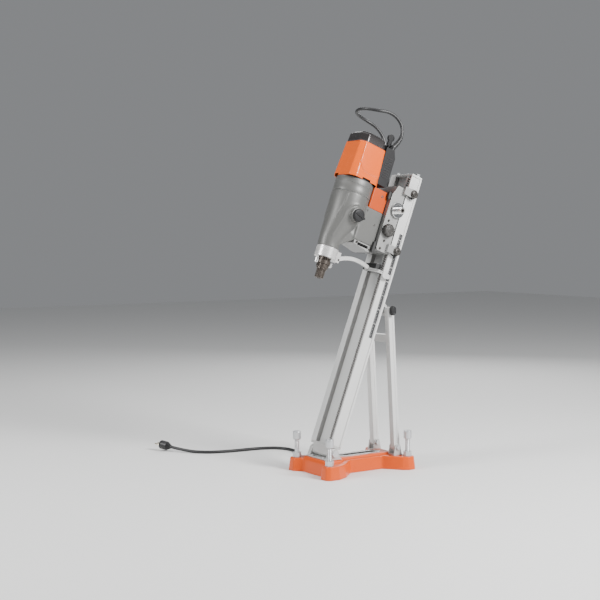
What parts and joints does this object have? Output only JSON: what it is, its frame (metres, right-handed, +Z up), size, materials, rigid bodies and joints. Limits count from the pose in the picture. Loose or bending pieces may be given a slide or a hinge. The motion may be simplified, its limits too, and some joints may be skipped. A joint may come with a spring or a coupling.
{
  "type": "core drill rig",
  "caption": "Core drilling rig: an anchored base with levelling screws, a tilting toothed mast on braces, a geared carriage and an electric drill motor with threaded spindle.",
  "frame": {"origin": "on the floor under the mast's hinge axis, on the rig's middle plane", "axes": "+Z up, +X to the near side with the feed shaft's stub and the lock knob, the rig faces -Y; metres"},
  "size_m": [0.8076, 0.6628, 1.2308],
  "materials": {
    "orange_paint": "satin cast paint",
    "mast_aluminium": "anodised satin",
    "cast_aluminium": "fine cast, silver paint",
    "silver_metallic": "metallic paint",
    "orange_shell": "glossy",
    "black_plastic": "fine grain",
    "black_rubber": "dull",
    "zinc_steel": "zinc plated",
    "dark_steel": "oiled",
    "bright_steel": "polished",
    "bronze": "plain",
    "copper": "enamelled wire",
    "scale_black": "film",
    "board_green": "varnished"
  },
  "bodies": {
    "base": {"base_plate": "orange_paint", "levelling_bushes": "zinc_steel", "mast_bracket": "cast_aluminium", "bracket_bolts": "zinc_steel", "hinge_pin": "zinc_steel", "brace_brackets": "cast_aluminium", "brace_pins": "zinc_steel", "lower_cord": "black_rubber", "mains_plug": "black_rubber"},
    "levelling_screw_front_right": {"levelling_screw_front_right": "zinc_steel"},
    "levelling_screw_front_left": {"levelling_screw_front_left": "zinc_steel"},
    "levelling_screw_rear_right": {"levelling_screw_rear_right": "zinc_steel"},
    "levelling_screw_rear_left": {"levelling_screw_rear_left": "zinc_steel"},
    "mast": {"mast_extrusion": "mast_aluminium", "gear_rack": "zinc_steel", "mast_foot": "cast_aluminium", "mast_cap": "mast_aluminium", "cap_bolts": "zinc_steel", "scale_strip": "scale_black", "cord_clips": "black_plastic", "mast_cord": "black_rubber"},
    "clamp": {"brace_clamp": "cast_aluminium"},
    "braces": {"brace_frame": "mast_aluminium", "brace_bolt": "zinc_steel"},
    "brace_knob": {"brace_knob": "black_plastic"},
    "carriage": {"carriage_body": "cast_aluminium", "roller_axles": "dark_steel", "shaft_bushes": "bronze", "gearbox_housing": "silver_metallic", "gearbox_cover": "silver_metallic", "motor_shell": "orange_shell", "motor_cap": "silver_metallic", "rear_cover": "orange_shell", "switch_case": "black_plastic", "circuit_board": "board_green", "neck_collar": "bright_steel", "adapter_plate": "cast_aluminium", "release_wedges": "black_rubber", "motor_fasteners": "dark_steel", "steady_arm": "cast_aluminium", "steady_fork": "cast_aluminium", "mast_wiper": "black_rubber", "spindle_bearings": "dark_steel", "field_coil": "copper", "cable_gland": "black_rubber", "upper_cord": "black_rubber"},
    "guide_roller_upper_right": {"guide_roller_upper_right": "black_plastic"},
    "guide_roller_upper_left": {"guide_roller_upper_left": "black_plastic"},
    "guide_roller_lower_right": {"guide_roller_lower_right": "black_plastic"},
    "guide_roller_lower_left": {"guide_roller_lower_left": "black_plastic"},
    "feed": {"feed_shaft": "bright_steel", "feed_pinion": "dark_steel"},
    "lock_knob": {"lock_knob": "black_plastic"},
    "selector_knob": {"selector_knob": "black_plastic"},
    "switch_paddle": {"switch_paddle": "black_plastic"},
    "spindle": {"drill_spindle": "dark_steel", "release_ring": "bright_steel", "spindle_gear": "dark_steel"},
    "lay_shaft": {"lay_shaft": "dark_steel"},
    "armature": {"armature": "dark_steel"}
  },
  "joints": [
    {"name": "mast_tilt", "type": "hinge", "parent": "base", "child": "mast", "pos_m": [0, 0, 0.073], "axis": [1, 0, 0], "range_deg": [-9.3, 20.7], "deforming": ["lower_cord"]},
    {"name": "clamp_slide", "type": "slide", "parent": "mast", "child": "clamp", "axis": [0, 0.3535, 0.9354], "range_m": [-0.1005, 0.0455]},
    {"name": "brace_tilt", "type": "hinge", "parent": "base", "child": "braces", "pos_m": [0, 0.256, 0.072], "axis": [1, 0, 0], "range_deg": [-10.8, 23.8]},
    {"name": "brace_knob_turn", "type": "hinge", "parent": "braces", "child": "brace_knob", "pos_m": [0, 0.22812, 0.53948], "axis": [1, 0, 0], "range_deg": [0, 120]},
    {"name": "feed", "type": "slide", "parent": "mast", "child": "carriage", "axis": [0, 0.3535, 0.9354], "range_m": [-0.5, 0.02], "deforming": ["upper_cord"]},
    {"name": "feed_turn", "type": "hinge", "parent": "carriage", "child": "feed", "pos_m": [0, 0.25693, 0.87602], "axis": [1, 0, 0], "range_deg": [-60, 1440]},
    {"name": "roller_upper_right_turn", "type": "hinge", "parent": "carriage", "child": "guide_roller_upper_right", "pos_m": [0.0616, 0.32133, 0.93186], "axis": [1, 0, 0], "range_deg": [-1670, 70]},
    {"name": "roller_upper_left_turn", "type": "hinge", "parent": "carriage", "child": "guide_roller_upper_left", "pos_m": [-0.0616, 0.32133, 0.93186], "axis": [1, 0, 0], "range_deg": [-1670, 70]},
    {"name": "roller_lower_right_turn", "type": "hinge", "parent": "carriage", "child": "guide_roller_lower_right", "pos_m": [0.0616, 0.24816, 0.73823], "axis": [1, 0, 0], "range_deg": [-70, 1670]},
    {"name": "roller_lower_left_turn", "type": "hinge", "parent": "carriage", "child": "guide_roller_lower_left", "pos_m": [-0.0616, 0.24816, 0.73823], "axis": [1, 0, 0], "range_deg": [-70, 1670]},
    {"name": "lock_turn", "type": "hinge", "parent": "carriage", "child": "lock_knob", "pos_m": [0.06, 0.21615, 0.80912], "axis": [1, 0, 0], "range_deg": [0, 120]},
    {"name": "selector_turn", "type": "hinge", "parent": "carriage", "child": "selector_knob", "pos_m": [0.074, 0.08648, 0.85918], "axis": [1, 0, 0], "range_deg": [-60, 60]},
    {"name": "switch_rock", "type": "hinge", "parent": "carriage", "child": "switch_paddle", "pos_m": [0, 0.26567, 1.09293], "axis": [1, 0, 0], "range_deg": [-10, 10]},
    {"name": "spindle_turn", "type": "hinge", "parent": "carriage", "child": "spindle", "pos_m": [0, 0.03696, 0.80734], "axis": [0, 0.3535, 0.9354], "continuous": true},
    {"name": "lay_shaft_turn", "type": "hinge", "parent": "carriage", "child": "lay_shaft", "pos_m": [0.02727, 0.04865, 0.80292], "axis": [0, 0.3535, 0.9354], "continuous": true},
    {"name": "armature_turn", "type": "hinge", "parent": "carriage", "child": "armature", "pos_m": [0, 0.13104, 0.98559], "axis": [0, 0.3535, 0.9354], "continuous": true},
    {"name": "screw_front_right", "type": "slide", "parent": "base", "child": "levelling_screw_front_right", "axis": [0, 0, 1], "range_m": [-0.02, 0.03]},
    {"name": "screw_front_left", "type": "slide", "parent": "base", "child": "levelling_screw_front_left", "axis": [0, 0, 1], "range_m": [-0.02, 0.03]},
    {"name": "screw_rear_right", "type": "slide", "parent": "base", "child": "levelling_screw_rear_right", "axis": [0, 0, 1], "range_m": [-0.02, 0.03]},
    {"name": "screw_rear_left", "type": "slide", "parent": "base", "child": "levelling_screw_rear_left", "axis": [0, 0, 1], "range_m": [-0.02, 0.03]}
  ],
  "couplings": [
    {"joint": "clamp_slide", "follows": "mast_tilt", "m_per_rad": -0.27481},
    {"joint": "brace_tilt", "follows": "mast_tilt", "ratio": 1.1394},
    {"joint": "feed_turn", "follows": "feed", "rad_per_m": -50},
    {"joint": "roller_upper_right_turn", "follows": "feed", "rad_per_m": 58.139},
    {"joint": "roller_upper_left_turn", "follows": "feed", "rad_per_m": 58.139},
    {"joint": "roller_lower_right_turn", "follows": "feed", "rad_per_m": -58.139},
    {"joint": "roller_lower_left_turn", "follows": "feed", "rad_per_m": -58.139},
    {"joint": "lay_shaft_turn", "follows": "spindle_turn", "ratio": -1.8571},
    {"joint": "armature_turn", "follows": "spindle_turn", "ratio": 5.5714}
  ]
}
